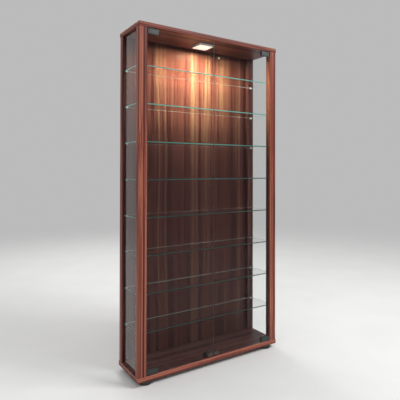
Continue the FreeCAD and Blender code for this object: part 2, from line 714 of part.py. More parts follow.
def hinge_clamp(side_name, end_name):
    """U-shaped clamp over the corner of the glass, with its pivot pin."""
    side = SIDES[side_name]
    is_top = end_name == "top"
    glass_end, bridge_face, free_edge = clamp_levels(is_top)
    body = new_body(f"hinge_clamp_{end_name}_{side_name}")
    inner_x = f"({CLAMP_OUTER_X} - clamp_width)"
    start_x = inner_x if side > 0 else signed(side, CLAMP_OUTER_X)
    outer_front = f"({DOOR_MIDDLE_Y} - {CLAMP_HALF_Y})"
    outer_rear = f"({DOOR_MIDDLE_Y} + {CLAMP_HALF_Y})"
    inner_front = f"({DOOR_FRONT_Y} - clamp_pad_thickness)"
    inner_rear = f"({DOOR_REAR_Y} + clamp_pad_thickness)"
    profile = new_sketch(body, "YZ", start_x)
    add_outline(profile, [
        (outer_front, bridge_face),
        (outer_front, free_edge),
        (inner_front, free_edge),
        (inner_front, glass_end),
        (inner_rear, glass_end),
        (inner_rear, free_edge),
        (outer_rear, free_edge),
        (outer_rear, bridge_face),
    ])
    channel = pad(profile, "clamp_width")
    front_y = size(outer_front)

    def is_front_corner(edge):
        box = edge.BoundBox
        return is_upright(edge) and abs(box.YMin - front_y) < 1e-3

    round_edges(channel, "clamp_edge_radius", is_front_corner)
    pin = new_sketch(body, "XY", bridge_face)
    add_circle(pin, signed(side, HINGE_X), DOOR_MIDDLE_Y, "hinge_pin_radius")
    pad(pin, "door_end_gap - clamp_bridge + hinge_pin_depth", forward=is_top)
    recess = new_sketch(body, "XZ", outer_front)
    plate_outline(recess, side, is_top, "0")
    pocket(recess, "hinge_plate_sink", forward=True)
    screw_holes = new_sketch(body, "XZ", inner_rear)
    add_circles(screw_holes, grub_screw_places(side, is_top), "grub_screw_radius + hole_clearance")
    pocket(screw_holes, "clamp_wall", forward=True)


def clamp_middle_z(is_top):
    """Middle of the clamp's cheeks."""
    glass_end, _, free_edge = clamp_levels(is_top)
    return f"(({glass_end} + {free_edge}) / 2)"


def grub_screw_places(side, is_top):
    middle_z = clamp_middle_z(is_top)
    middle_x = signed(side, CLAMP_MIDDLE_X)
    return [(f"{middle_x} + {offset} * grub_screw_spacing / 2", middle_z) for offset in (-1, 1)]


def plate_outline(sketch, side, is_top, inset):
    """Outline of the cover plate on a clamp's front cheek, made smaller by inset."""
    _, bridge_face, free_edge = clamp_levels(is_top)
    middle_z = f"(({bridge_face} + {free_edge}) / 2)"
    middle_x = signed(side, f"({CLAMP_MIDDLE_X} - hinge_plate_offset)")
    half_x = f"(hinge_plate_width / 2 - {inset})"
    half_z = f"(hinge_plate_height / 2 - {inset})"
    add_rectangle(
        sketch,
        f"{middle_x} - {half_x}",
        f"{middle_x} + {half_x}",
        f"{middle_z} - {half_z}",
        f"{middle_z} + {half_z}",
    )


def hinge_plates(side_name):
    """Cover plates let into the front cheeks of a door's two clamps."""
    side = SIDES[side_name]
    body = new_body(f"hinge_plates_{side_name}")
    recess_face = f"({DOOR_MIDDLE_Y} - {CLAMP_HALF_Y} + hinge_plate_sink)"
    sketch = new_sketch(body, "XZ", recess_face)
    for is_top in (True, False):
        plate_outline(sketch, side, is_top, "hole_clearance")
    pad(sketch, "hinge_plate_thickness", forward=False)


def hinge_pads(side_name):
    """Soft pads between the cheeks and the glass, two in each clamp."""
    side = SIDES[side_name]
    body = new_body(f"hinge_pads_{side_name}")
    middle_x = signed(side, CLAMP_MIDDLE_X)
    half_x = "(clamp_width / 2 - clamp_pad_margin)"
    for face, forward in ((DOOR_FRONT_Y, False), (DOOR_REAR_Y, True)):
        sketch = new_sketch(body, "XZ", face)
        for is_top in (True, False):
            glass_end, _, free_edge = clamp_levels(is_top)
            inward = -1 if is_top else 1
            add_rectangle(
                sketch,
                f"{middle_x} - {half_x}",
                f"{middle_x} + {half_x}",
                f"{glass_end} + {inward} * glass_arris",
                f"{free_edge} - {inward} * clamp_pad_margin",
            )
        pad(sketch, "clamp_pad_thickness", forward)


def hinge_grub_screws(side_name):
    """Socket screws in the rear cheeks, which press the pads on the glass."""
    side = SIDES[side_name]
    body = new_body(f"hinge_screws_{side_name}")
    start_y = f"({DOOR_REAR_Y} + clamp_pad_thickness)"
    places = grub_screw_places(side, True) + grub_screw_places(side, False)
    shank = new_sketch(body, "XZ", start_y)
    add_circles(shank, places, "grub_screw_radius")
    pad(shank, "clamp_wall + grub_screw_proud")
    socket = new_sketch(body, "XZ", f"{start_y} + clamp_wall + grub_screw_proud")
    add_circles(socket, places, "hex_socket_radius")
    pocket(socket, "clamp_wall / 2", forward=False)


def door_glass(side_name):
    side = SIDES[side_name]
    glass_sheet(
        f"door_glass_{side_name}",
        (signed(side, "(door_gap / 2)"), signed(side, DOOR_OUTER_X)),
        (DOOR_FRONT_Y, DOOR_REAR_Y),
        (DOOR_BOTTOM_Z, DOOR_TOP_Z),
    )


def strike_clip(side_name):
    """Folded steel clip on the lower edge of the glass, which the latch's magnet holds."""
    side = SIDES[side_name]
    body = new_body(f"strike_clip_{side_name}")
    edge_x = f"({PLUNGER_X} - strike_width / 2)"
    start_x = edge_x if side > 0 else signed(side, f"({edge_x} + strike_width)")
    inner_front = f"({DOOR_FRONT_Y} - strike_clearance)"
    inner_rear = f"({DOOR_REAR_Y} + strike_clearance)"
    outer_front = f"({inner_front} - strike_wall)"
    top_z = f"({DOOR_BOTTOM_Z} + strike_height)"
    bottom_z = f"({DOOR_BOTTOM_Z} - strike_wall)"
    profile = new_sketch(body, "YZ", start_x)
    add_outline(profile, [
        (outer_front, bottom_z),
        (STRIKE_REAR_Y, bottom_z),
        (STRIKE_REAR_Y, top_z),
        (inner_rear, top_z),
        (inner_rear, DOOR_BOTTOM_Z),
        (inner_front, DOOR_BOTTOM_Z),
        (inner_front, top_z),
        (outer_front, top_z),
    ])
    pad(profile, "strike_width")


def hinge_bushings():
    """Four collared bushings in the panels; the clamps' pins turn in them."""
    body = new_body("hinge_bushings")
    bore = "hinge_pin_radius + pin_running_clearance"
    collar = "door_end_gap - clamp_bridge - hinge_running_gap"
    for face, upwards in ((FLOOR, False), (CEILING, True)):
        for radius, length, forward in (
            ("bushing_flange_radius", collar, not upwards),
            ("bushing_radius", "bushing_depth", upwards),
        ):
            sketch = new_sketch(body, "XY", face)
            for side in SIDES.values():
                add_circle(sketch, signed(side, HINGE_X), DOOR_MIDDLE_Y, radius)
                add_circle(sketch, signed(side, HINGE_X), DOOR_MIDDLE_Y, bore)
            pad(sketch, length, forward)


def doors():
    for side_name in SIDES:
        door_glass(side_name)
        for end_name in ("top", "bottom"):
            hinge_clamp(side_name, end_name)
        hinge_plates(side_name)
        hinge_pads(side_name)
        hinge_grub_screws(side_name)
        strike_clip(side_name)
    hinge_bushings()


# ---------------------------------------------------------------- push latch

def latch_housing():
    """Low block on the bottom panel with two blind bores that open to the doors."""
    half_x = "(latch_width / 2)"
    housing = block(
        "latch_housing",
        (f"-{half_x}", half_x),
        (LATCH_FRONT_Y, LATCH_REAR_Y),
        (FLOOR, f"({FLOOR} + latch_height)"),
    )
    floor_z = size(FLOOR)
    round_edges(housing, "latch_edge_radius", lambda edge: edge.BoundBox.ZMax > floor_z + 1e-3)
    body = housing.getParentGeoFeatureGroup()
    bores = new_sketch(body, "XZ", LATCH_FRONT_Y)
    for side in SIDES.values():
        radius = "plunger_radius + plunger_running_clearance"
        add_circle(bores, signed(side, PLUNGER_X), PLUNGER_Z, radius)
    pocket(bores, "latch_depth - latch_back_wall", forward=True)
    top_face = f"({FLOOR} + latch_height)"
    shank_holes = new_sketch(body, "XY", top_face)
    add_circles(shank_holes, latch_screw_places(), "wood_screw_radius + hole_clearance")
    pocket(shank_holes, "latch_height", forward=False)
    head_holes = new_sketch(body, "XY", top_face)
    add_circles(head_holes, latch_screw_places(), "wood_screw_head_radius + hole_clearance")
    pocket(head_holes, "latch_height - plunger_height", forward=False)


def latch_plunger(side_name):
    """Hollow plunger with a magnet in its nose and room for its spring."""
    middle_x = signed(SIDES[side_name], PLUNGER_X)
    body = new_body(f"latch_plunger_{side_name}")
    barrel = new_sketch(body, "XZ", PLUNGER_NOSE_Y)
    add_circle(barrel, middle_x, PLUNGER_Z, "plunger_radius")
    pad(barrel, f"{PLUNGER_TAIL_Y} - {PLUNGER_NOSE_Y}")
    nose = new_sketch(body, "XZ", PLUNGER_NOSE_Y)
    add_circle(nose, middle_x, PLUNGER_Z, "magnet_radius + hole_clearance")
    pocket(nose, "magnet_length", forward=True)
    bore = new_sketch(body, "XZ", PLUNGER_TAIL_Y)
    add_circle(bore, middle_x, PLUNGER_Z, PLUNGER_BORE_RADIUS)
    pocket(bore, f"{PLUNGER_TAIL_Y} - {PLUNGER_BORE_END_Y}", forward=False)
    magnet_body = new_body(f"latch_magnet_{side_name}")
    magnet = new_sketch(magnet_body, "XZ", PLUNGER_NOSE_Y)
    add_circle(magnet, middle_x, PLUNGER_Z, "magnet_radius")
    pad(magnet, "magnet_length")


def latch_springs():
    """Two coil springs at their pressed length, from the housing's rear wall."""
    back_y = size(f"{LATCH_REAR_Y} - latch_back_wall")
    front_y = size(f"{PLUNGER_BORE_END_Y} + plunger_travel + plunger_gap")
    wire = size("spring_wire_radius")
    coil_radius = size(f"{PLUNGER_BORE_RADIUS} - spring_clearance") - wire
    length = back_y - front_y - 2 * wire
    coils = []
    for side in SIDES.values():
        turns = 7
        helix = Part.makeHelix(length / turns, length, coil_radius)
        start = FreeCAD.Vector(coil_radius, 0, 0)
        section = Part.Wire(Part.makeCircle(wire, start, FreeCAD.Vector(0, 1, 0)))
        coil = Part.Wire(helix.Edges).makePipeShell([section], True, True)
        coil.Placement = FreeCAD.Placement(
            FreeCAD.Vector(side * size(PLUNGER_X), back_y - wire, size(PLUNGER_Z)),
            FreeCAD.Rotation(FreeCAD.Vector(1, 0, 0), 90),
        )
        coils.append(coil)
    springs = doc.addObject("Part::Feature", "latch_springs")
    springs.Label = "latch_springs"
    springs.Shape = Part.makeCompound(coils)
    sub_parts.append(springs)


def latch():
    latch_housing()
    for side_name in SIDES:
        latch_plunger(side_name)
    latch_springs()
    screws(
        "latch_screws",
        latch_screw_places(),
        f"({FLOOR} + plunger_height)",
        False,
        "wood_screw_head_radius",
        "wood_screw_head_height",
        "wood_screw_radius",
        "(plunger_height + wood_screw_grip)",
    )


# ---------------------------------------------------------------- lamp

def centred(half):
    return (f"-{half}", half)


def lamp_housing():
    """Square tray under the top panel, open downwards, with a ledge for the diffuser."""
    half = "(lamp_size / 2)"
    tray = block("lamp_housing", centred(half), centred(half), (LAMP_BOTTOM_Z, CEILING))
    round_edges(tray, "lamp_corner_radius", is_upright)
    body = tray.getParentGeoFeatureGroup()
    mouth = new_sketch(body, "XY", LAMP_BOTTOM_Z)
    add_rectangle(mouth, *centred(LAMP_MOUTH_HALF), *centred(LAMP_MOUTH_HALF))
    pocket(mouth, "lamp_diffuser_thickness", forward=True)
    room = new_sketch(body, "XY", LAMP_BOTTOM_Z)
    add_rectangle(room, *centred(LAMP_ROOM_HALF), *centred(LAMP_ROOM_HALF))
    pocket(room, "lamp_height - lamp_base_thickness", forward=True)
    holes = new_sketch(body, "XY", LAMP_BASE_Z)
    add_circles(holes, lamp_screw_places(), "wood_screw_radius + hole_clearance")
    pocket(holes, "lamp_base_thickness", forward=True)
    inlet = new_sketch(body, "XZ", half)
    inlet_z = f"({LAMP_BASE_Z} - lamp_board_thickness - lamp_inlet_radius)"
    add_circle(inlet, "0", inlet_z, "lamp_inlet_radius")
    pocket(inlet, "lamp_rim + lamp_ledge", forward=False)


def lamp_insides():
    """Board, light emitters and diffuser."""
    board_half = f"({LAMP_ROOM_HALF} - lamp_fit)"
    board_z = f"({LAMP_BASE_Z} - lamp_board_thickness)"
    board = block("lamp_board", centred(board_half), centred(board_half), (board_z, LAMP_BASE_Z))
    head_holes = new_sketch(board.getParentGeoFeatureGroup(), "XY", board_z)
    add_circles(head_holes, lamp_screw_places(), "wood_screw_head_radius + hole_clearance")
    pocket(head_holes, "lamp_board_thickness", forward=True)

    emitters = new_body("lamp_leds")
    grid = new_sketch(emitters, "XY", board_z)
    for column in (-1, 0, 1):
        for row in (-1, 0, 1):
            x = f"({column} * led_pitch)"
            y = f"({row} * led_pitch)"
            half = "led_size / 2"
            add_rectangle(grid, f"{x} - {half}", f"{x} + {half}", f"{y} - {half}", f"{y} + {half}")
    pad(grid, "led_height", forward=False)

    plate_half = f"({LAMP_MOUTH_HALF} - lamp_fit)"
    plate_top = f"({LAMP_BOTTOM_Z} + lamp_diffuser_thickness)"
    block("lamp_diffuser", centred(plate_half), centred(plate_half), (LAMP_BOTTOM_Z, plate_top))
    screws(
        "lamp_screws",
        lamp_screw_places(),
        LAMP_BASE_Z,
        True,
        "wood_screw_head_radius",
        "wood_screw_head_height",
        "wood_screw_radius",
        "(lamp_base_thickness + wood_screw_grip)",
    )


def lamp_lead_grommet():
    """Plastic grommet where the lamp's lead leaves through the back panel."""
    body = new_body("lamp_lead_grommet")
    collar = new_sketch(body, "XZ", BACK_FRONT_Y)
    add_circle(collar, "outlet_offset", OUTLET_Z, "outlet_flange_radius")
    pad(collar, "outlet_flange_thickness", forward=False)
    neck = new_sketch(body, "XZ", BACK_FRONT_Y)
    add_circle(neck, "outlet_offset", OUTLET_Z, "outlet_neck_radius")
    pad(neck, "back_panel_thickness + outlet_tail")
    bore = new_sketch(body, "XZ", f"{BACK_FRONT_Y} - outlet_flange_thickness")
    add_circle(bore, "outlet_offset", OUTLET_Z, "outlet_bore_radius")
    pocket(bore, "outlet_flange_thickness + back_panel_thickness + outlet_tail", forward=True)


# ---------------------------------------------------------------- feet and fasteners

def foot(depth_name, side_name):
    """Turned round foot with a recess for its screw."""
    body = new_body(f"foot_{depth_name}_{side_name}")
    profile = new_sketch(body, "XZ")
    hole = "wood_screw_radius + hole_clearance"
    radius = "(foot_diameter / 2)"
    recess_top = "(foot_height - foot_web)"
    add_outline(profile, [
        ("foot_recess_radius", "0"),
        (f"{radius} - foot_lower_chamfer", "0"),
        (radius, "foot_lower_chamfer"),
        (radius, "foot_height - foot_upper_chamfer"),
        (f"{radius} - foot_upper_chamfer", "foot_height"),
        (hole, "foot_height"),
        (hole, recess_top),
        ("foot_recess_radius", recess_top),
    ])
    revolve(profile)
    bind(body, "Placement.Base.x", signed(SIDES[side_name], FOOT_X))
    bind(body, "Placement.Base.y", signed(DEPTHS[depth_name], FOOT_Y))


def feet():
    for depth_name in DEPTHS:
        for side_name in SIDES:
            foot(depth_name, side_name)
    screws(
        "foot_screws",
        at_corners(FOOT_X, FOOT_Y),
        "(foot_height - foot_web)",
        True,
        "wood_screw_head_radius",
        "wood_screw_head_height",
        "wood_screw_radius",
        "(foot_web + wood_screw_grip)",
    )


def turned_at_corner(label, x, y, outline):
    """A turned piece at the right rear corner; its outline is (radius, height)."""
    body = new_body(label)
    sketch = new_sketch(body, "XZ", y)
    bind(sketch, "AttachmentOffset.Base.x", x)
    add_outline(sketch, outline)
    return revolve(sketch)


def frame_screw(label_face, upwards):
    """Outline of a frame screw with its head in the panel's counterbore."""
    along = 1 if upwards else -1
    head_end = f"({label_face} + {along} * screw_cap_thickness)"
    head_face = f"({head_end} + {along} * frame_screw_head_height)"
    tip = f"({head_face} + {along} * frame_screw_length)"
    shoulder = f"({tip} - {along} * screw_tip)"
    return [
        ("0", head_end),
        ("frame_screw_head_radius", head_end),
        ("frame_screw_head_radius", head_face),
        ("frame_screw_radius", head_face),
        ("frame_screw_radius", shoulder),
        ("frame_screw_radius - screw_tip", tip),
        ("0", tip),
    ]


def frame_fasteners():
    for label, face, upwards in (
        ("frame_screws_top", "cabinet_height", False),
        ("frame_screws_bottom", "foot_height", True),
    ):
        outline = frame_screw(face, upwards)
        screw = turned_at_corner(label, FRAME_SCREW_X, FRAME_JOINT_Y, outline)
        repeat(screw, left_and_right, front_and_rear)

    cap_body = new_body("screw_caps")
    caps = new_sketch(cap_body, "XY", "cabinet_height")
    add_circles(caps, at_corners(FRAME_SCREW_X, FRAME_JOINT_Y), "frame_screw_head_radius")
    pad(caps, "screw_cap_thickness", forward=False)

    dowel_body = new_body("dowels")
    for start in (f"{FLOOR} - dowel_in_panel", f"{CEILING} + dowel_in_panel - dowel_length"):
        ends = new_sketch(dowel_body, "XY", start)
        add_circles(ends, at_corners(DOWEL_X, FRAME_JOINT_Y), "dowel_radius")
        pad(ends, "dowel_length")


# ---------------------------------------------------------------- wall brackets

def wall_bracket(side_name):
    """Steel angle screwed on the top panel; its upright leg is flush with the rear."""
    body = new_body(f"wall_bracket_{side_name}")
    middle_x = f"({SIDES[side_name]} * bracket_spacing / 2)"
    rear = "(cabinet_depth / 2)"
    top = "cabinet_height"
    profile = new_sketch(body, "YZ", f"{middle_x} - bracket_width / 2")
    add_outline(profile, [
        (f"{rear} - bracket_foot", top),
        (rear, top),
        (rear, f"{top} + bracket_rise"),
        (f"{rear} - bracket_thickness", f"{top} + bracket_rise"),
        (f"{rear} - bracket_thickness", f"{top} + bracket_thickness"),
        (f"{rear} - bracket_foot", f"{top} + bracket_thickness"),
    ])
    pad(profile, "bracket_width")
    wall_hole = new_sketch(body, "XZ", f"{rear} - bracket_thickness")
    add_circle(wall_hole, middle_x, f"{top} + bracket_hole_height", "bracket_hole_radius")
    pocket(wall_hole, "bracket_thickness", forward=True)
    small_holes = new_sketch(body, "XY", top)
    own_side = slice(0, 2) if SIDES[side_name] < 0 else slice(2, 4)
    places = bracket_screw_places()[own_side]
    add_circles(small_holes, places, "wood_screw_radius + hole_clearance")
    pocket(small_holes, "bracket_thickness", forward=True)


def wall_brackets():
    for side_name in SIDES:
        wall_bracket(side_name)
    screws(
        "bracket_screws",
        bracket_screw_places(),
        "(cabinet_height + bracket_thickness)",
        False,
        "wood_screw_head_radius",
        "wood_screw_head_height",
        "wood_screw_radius",
        "(bracket_thickness + wood_screw_grip)",
    )


# ---------------------------------------------------------------- check and export

def check_document():
    doc.recompute()
    for thing in doc.Objects:
        if "Invalid" in thing.State or "Error" in thing.State:
            raise RuntimeError(f"{thing.Name} failed: {thing.State}")
    labels = [thing.Label for thing in sub_parts]
    if len(set(labels)) != len(labels):
        raise RuntimeError("two sub-parts share a name")
    for thing in sub_parts:
        if thing.Shape.isNull() or not thing.Shape.isValid() or not thing.Shape.Solids:
            raise RuntimeError(f"{thing.Label} has no valid shape")


def export_parts():
    os.makedirs("parts", exist_ok=True)
    for thing in sub_parts:
        thing.Shape.exportStep(f"parts/{thing.Label}.step")
        print(thing.Label, len(thing.Shape.Solids), "solids", round(thing.Shape.Volume), "mm3")


fill_sheet()
panels()
posts()
for pane_side in SIDES:
    side_glass(pane_side)
back_panel()
shelves()
for support_side in SIDES:
    shelf_supports(support_side)
doors()
latch()
lamp_housing()
lamp_insides()
lamp_lead_grommet()
feet()
frame_fasteners()
wall_brackets()
check_document()
export_parts()
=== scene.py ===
import math

import bpy
from mathutils import Matrix, Vector


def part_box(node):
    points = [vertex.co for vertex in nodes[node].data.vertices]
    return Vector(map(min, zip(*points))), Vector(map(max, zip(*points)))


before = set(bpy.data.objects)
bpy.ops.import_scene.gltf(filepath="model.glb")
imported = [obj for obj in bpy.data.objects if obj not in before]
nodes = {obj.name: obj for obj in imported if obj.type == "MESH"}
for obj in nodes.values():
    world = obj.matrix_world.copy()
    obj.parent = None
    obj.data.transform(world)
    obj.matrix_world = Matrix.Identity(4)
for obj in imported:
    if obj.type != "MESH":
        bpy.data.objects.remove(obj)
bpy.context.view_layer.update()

# Colours are linear RGB. Every wood is a printed foil or solid timber with three tones. The mahogany's lit
# and shaded copies below are painted light and painted shade.
MAHOGANY = {
    "dark": (0.070, 0.013, 0.010),
    "body": (0.190, 0.043, 0.028),
    "light": (0.430, 0.145, 0.090),
}
# Painted light: a lighter copy of the mahogany for the bottom panel in front of the doors.
PAINTED_LIGHT_MAHOGANY = {
    "dark": (0.150, 0.035, 0.022),
    "body": (0.330, 0.095, 0.060),
    "light": (0.560, 0.220, 0.140),
}
# Painted shade: a darker copy of the mahogany for faces towards the dark inside.
SHADED_MAHOGANY = {
    "dark": (0.022, 0.005, 0.005),
    "body": (0.062, 0.014, 0.014),
    "light": (0.120, 0.036, 0.030),
}
# Painted shade, less dark, as if the lamp lit it: for the inner sides of the top panel and the front
# posts.
LAMPLIT_MAHOGANY = {
    "dark": (0.040, 0.009, 0.008),
    "body": (0.110, 0.026, 0.020),
    "light": (0.220, 0.070, 0.050),
}
BACK_MAHOGANY = {
    "dark": (0.038, 0.008, 0.008),
    "body": (0.084, 0.022, 0.018),
    "light": (0.150, 0.064, 0.044),
}
BEECH = {
    "dark": (0.40, 0.25, 0.13),
    "body": (0.55, 0.37, 0.21),
    "light": (0.68, 0.50, 0.31),
}
DUST_COLOUR = (0.42, 0.38, 0.34)
WORN_METAL = (0.30, 0.30, 0.30)
GLASS_TINT = (0.972, 0.984, 0.978)
CLEAR_TINT = (0.84, 0.86, 0.855)
GLASS_EDGE = (0.07, 0.44, 0.38)
DOOR_EDGE = (0.05, 0.26, 0.19)
# Painted shade on the edges of the glass that face the rear.
PAINTED_REAR_EDGE_SHADE = (0.02, 0.07, 0.05)
# Painted glow on the edges of the glass near the lamp.
PAINTED_EDGE_GLOW = (0.22, 0.80, 0.72)
FLOOR_NEAR = (0.90, 0.90, 0.89)
STUDIO_GREY = (0.50, 0.50, 0.50)
LAMP_GLOW = (0.82, 1.0, 0.62)

# How strongly each glass bends light. Low values keep the studio from mirroring in it.
DOOR_BENDING = 1.16
SHELF_BENDING = 1.25
SIDE_BENDING = 1.34

# Bands as (from, to, amount): lighter above zero, darker below it.
# The posts' bands lie at places on X. The bottom panel's lie at heights over its underside: painted shade
# on its lower rounding, painted light above it.
POST_BANDS = {
    "post_front_left": ((-0.4472, -0.4245, 0.05), (-0.4245, -0.4155, -0.12), (-0.4155, -0.400, 0.01)),
    "post_front_right": ((0.400, 0.409, 0.03), (0.409, 0.4195, 0.0), (0.4195, 0.4472, 0.03)),
}
BOTTOM_PANEL_LIGHT_AND_SHADE = ((-0.001, 0.009, -0.14), (0.009, 0.030, 0.03))
BAND_BLUR = 0.001

# How far each board's grain is moved in its pattern, so that no two boards are alike.
BOARD_SHIFTS = {
    "top_panel": (0.31, 0.12, 0.4),
    "bottom_panel": (0.83, 0.05, 1.9),
    "post_front_left": (0.20, 0.40, 0.0),
    "post_front_right": (1.70, 0.10, 3.0),
    "post_rear_left": (2.60, 0.80, 5.0),
    "post_rear_right": (3.90, 0.30, 7.0),
    "screw_caps": (4.4, 1.1, 2.0),
}
# Widths of the grain's streaks, and how far they wander sideways.
POST_STREAKS = 0.0065
PANEL_STREAKS = 0.010
GRAIN_DRIFT = 0.03
# Boards whose inner sides get less dark painted shade than those of the others.
LAMPLIT_BOARDS = ("top_panel", "post_front_left", "post_front_right")

GLASS_SMEARS = 0.004
GROUND_EDGE_ROUGHNESS = 0.35
LAMP_SIZE = 0.08
# How far from the lamp the painted glow on the edges of the glass reaches.
PAINTED_GLOW_REACH = 0.85
FLOOR_HALF_SIZE = 30.0
HAZE_START, HAZE_END = 1.2, 7.0

# The wood's painted light and painted shade change on a line just behind the glass of the doors.
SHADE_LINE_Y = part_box("door_glass_left")[0].y + 0.005
lamp_low, lamp_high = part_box("lamp_diffuser")
lamp_middle = (lamp_low + lamp_high) / 2
UNDER_LAMP = Vector((lamp_middle.x, lamp_middle.y, lamp_low.z - 0.001))


# ---------------------------------------------------------------- node trees


def shader_node(tree, kind, inputs=None, **settings):
    """Adds one shader node. Each input is a plain value, or a socket that is linked to it."""
    made = tree.nodes.new("ShaderNode" + kind)
    for name, value in settings.items():
        setattr(made, name, value)
    for name, value in (inputs or {}).items():
        socket = made.inputs[name]
        if isinstance(value, bpy.types.NodeSocket):
            tree.links.new(value, socket)
        else:
            socket.default_value = value
    return made


def opaque(colour):
    return (*colour, 1.0)


def math_node(tree, operation, *values):
    made = shader_node(tree, "Math", operation=operation)
    for index, value in enumerate(values):
        if isinstance(value, bpy.types.NodeSocket):
            tree.links.new(value, made.inputs[index])
        else:
            made.inputs[index].default_value = value
    return made.outputs[0]


def scaled(tree, place, factors):
    return shader_node(
        tree, "VectorMath", {0: place, 1: factors}, operation="MULTIPLY"
    ).outputs[0]


def noise(tree, place, detail=2.0, roughness=0.5, scale=1.0):
    return shader_node(
        tree, "TexNoise", {"Vector": place, "Scale": scale, "Detail": detail, "Roughness": roughness}
    ).outputs["Fac"]


def ramp(tree, value, low, high, to_low=0.0, to_high=1.0):
    """A smooth step from to_low at low to to_high at high."""
    return shader_node(
        tree,
        "MapRange",
        {"Value": value, "From Min": low, "From Max": high, "To Min": to_low, "To Max": to_high},
        interpolation_type="SMOOTHSTEP",
    ).outputs[0]


def blended(tree, factor, first, second, how="MIX"):
    """Two colours mixed by a factor."""
    made = shader_node(tree, "Mix", data_type="RGBA", blend_type=how)
    for name, value in (("Factor_Float", factor), ("A_Color", first), ("B_Color", second)):
        socket = next(s for s in made.inputs if s.identifier == name)
        if isinstance(value, bpy.types.NodeSocket):
            tree.links.new(value, socket)
        else:
            socket.default_value = value
    return next(s for s in made.outputs if s.identifier == "Result_Color")


def effect_group(name, inputs, outputs):
    """An empty node group with named sockets, and its two end nodes."""
    group = bpy.data.node_groups.new(name, "ShaderNodeTree")
    kinds = {"value": "NodeSocketFloat", "vector": "NodeSocketVector", "colour": "NodeSocketColor"}
    for label, kind, default in inputs:
        socket = group.interface.new_socket(name=label, in_out="INPUT", socket_type=kinds[kind])
        if default is not None:
            socket.default_value = default
    for label, kind in outputs:
        group.interface.new_socket(name=label, in_out="OUTPUT", socket_type=kinds[kind])
    return group, group.nodes.new("NodeGroupInput").outputs, group.nodes.new("NodeGroupOutput").inputs


def placed(tree, group, inputs=None):
    """Places a shared effect in a material, with that material's own values."""
    made = tree.nodes.new("ShaderNodeGroup")
    made.node_tree = group
    for name, value in (inputs or {}).items():
        if isinstance(value, bpy.types.NodeSocket):
            tree.links.new(value, made.inputs[name])
        else:
            made.inputs[name].default_value = value
    return made.outputs


# ---------------------------------------------------------------- shared effects


def make_wood_grain():
    """Long streaks along Z that drift a little sideways, with fine pores. Lean makes them lighter."""
    group, given, result = effect_group(
        "wood grain",
        [
            ("Place", "vector", None),
            ("Dark", "colour", opaque(MAHOGANY["dark"])),
            ("Body", "colour", opaque(MAHOGANY["body"])),
            ("Light", "colour", opaque(MAHOGANY["light"])),
            ("Streak Width", "value", 0.010),
            ("Streak Length", "value", 1.0),
            ("Light Share", "value", 0.5),
            ("Drift", "value", 0.04),
            ("Lean", "value", 0.0),
        ],
        [("Color", "colour"), ("Roughness", "value"), ("Height", "value")],
    )
    place = given["Place"]
    drift = noise(group, scaled(group, place, (2.0, 2.0, 1.3)), detail=1.0)
    drift = math_node(group, "MULTIPLY", math_node(group, "SUBTRACT", drift, 0.5), given["Drift"])
    aside = shader_node(group, "CombineXYZ", {"X": drift, "Y": drift})
    bent = shader_node(group, "VectorMath", {0: place, 1: aside.outputs[0]}, operation="ADD").outputs[0]
    across = math_node(group, "DIVIDE", 1.0, given["Streak Width"])
    along = math_node(group, "DIVIDE", 1.0, given["Streak Length"])
    stretch = shader_node(group, "CombineXYZ", {"X": across, "Y": across, "Z": along}).outputs[0]
    streaks = scaled(group, bent, stretch)
    broad = noise(group, scaled(group, streaks, (0.28, 0.28, 0.5)), detail=1.0)
    middle = noise(group, streaks, detail=2.0, roughness=0.6)
    fine = noise(group, scaled(group, streaks, (5.0, 5.0, 4.0)), detail=2.0, roughness=0.6)
    tone = math_node(group, "MULTIPLY", broad, 0.42)
    tone = math_node(group, "ADD", tone, math_node(group, "MULTIPLY", middle, 0.40))
    tone = math_node(group, "ADD", tone, math_node(group, "MULTIPLY", fine, 0.18))
    tone = math_node(group, "ADD", tone, given["Lean"])
    colour = blended(group, ramp(group, tone, 0.42, 0.50), given["Dark"], given["Body"])
    share = math_node(group, "MULTIPLY", given["Light Share"], 2.0)
    lit = math_node(group, "MULTIPLY", ramp(group, tone, 0.51, 0.60), share)
    lit = math_node(group, "MINIMUM", lit, 1.0)
    colour = blended(group, lit, colour, given["Light"])
    pores = noise(group, scaled(group, bent, (1500.0, 1500.0, 70.0)), detail=1.0)
    pores = ramp(group, pores, 0.60, 0.72)
    colour = blended(group, math_node(group, "MULTIPLY", pores, 0.35), colour, given["Dark"])
    group.links.new(colour, result["Color"])
    group.links.new(ramp(group, tone, 0.35, 0.65, 0.44, 0.33), result["Roughness"])
    height = math_node(group, "SUBTRACT", math_node(group, "MULTIPLY", fine, 0.3), pores)
    group.links.new(height, result["Height"])
    return group


def make_edge_wear():
    """A mask of the narrow edges, broken up by noise."""
    group, given, result = effect_group(
        "edge wear",
        [("Place", "vector", None), ("Width", "value", 0.0015), ("Amount", "value", 0.5)],
        [("Mask", "value")],
    )
    rounded = shader_node(group, "Bevel", {"Radius": given["Width"]}, samples=6).outputs[0]
    flat = shader_node(group, "NewGeometry").outputs["Normal"]
    alike = shader_node(group, "VectorMath", {0: rounded, 1: flat}, operation="DOT_PRODUCT")
    edge = ramp(group, math_node(group, "SUBTRACT", 1.0, alike.outputs["Value"]), 0.02, 0.20)
    patches = ramp(group, noise(group, given["Place"], detail=3.0, scale=60.0), 0.40, 0.62)
    mask = math_node(group, "MULTIPLY", math_node(group, "MULTIPLY", edge, patches), given["Amount"])
    group.links.new(mask, result["Mask"])
    return group


